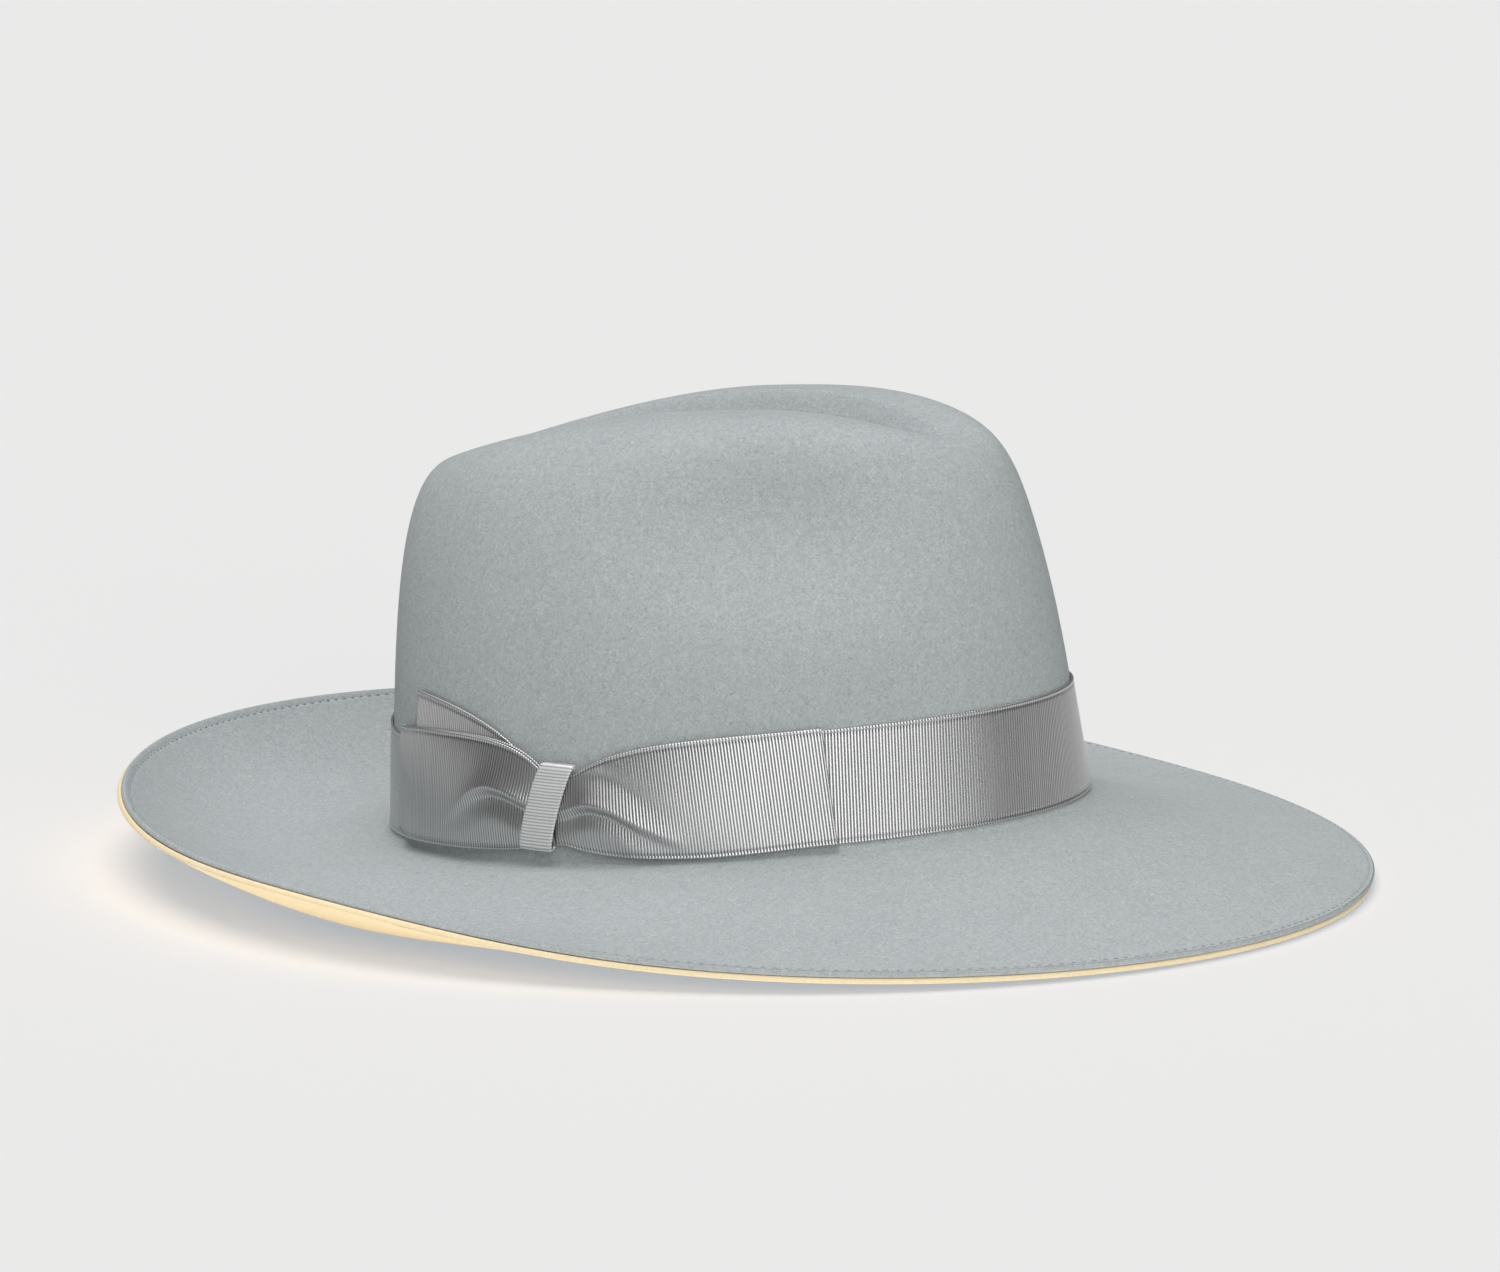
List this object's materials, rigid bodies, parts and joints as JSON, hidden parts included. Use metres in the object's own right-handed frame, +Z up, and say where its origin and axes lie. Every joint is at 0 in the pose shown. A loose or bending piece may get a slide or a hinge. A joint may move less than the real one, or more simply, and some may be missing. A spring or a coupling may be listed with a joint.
{
  "type": "fedora hat",
  "caption": "Wide-brimmed felt fedora with a teardrop-dented, pinched crown, contrasting bonded under-brim, grosgrain band with flat side bow, leather sweatband and satin lining.",
  "frame": {"origin": "on the table, under the middle of the hat's outline, with the hat resting on its front edge and the rear of its brim", "axes": "+Z up from the table, -Y towards the hat's front, -X towards the wearer's right, where the bow is"},
  "size_m": [0.3292, 0.3608, 0.1321],
  "materials": {
    "felt": "soft brushed fur felt, cool light grey",
    "underbrim_felt": "soft fur felt, pale straw yellow",
    "thread": "matt sewing thread, mid grey",
    "grosgrain": "ribbed grosgrain ribbon, neutral light grey",
    "leather": "smooth tanned sheepskin, satin",
    "satin": "pale grey satin"
  },
  "bodies": {
    "root": {"felt_body": "felt", "underbrim": "underbrim_felt", "edge_stitching": "thread", "hat_band": "grosgrain", "bow_front_loop": "grosgrain", "bow_rear_loop": "grosgrain", "bow_tail": "grosgrain", "bow_knot": "grosgrain", "sweatband": "leather", "sweatband_reed": "leather", "sweatband_tie": "satin", "lining_side": "satin", "lining_tip": "satin"}
  },
  "joints": []
}
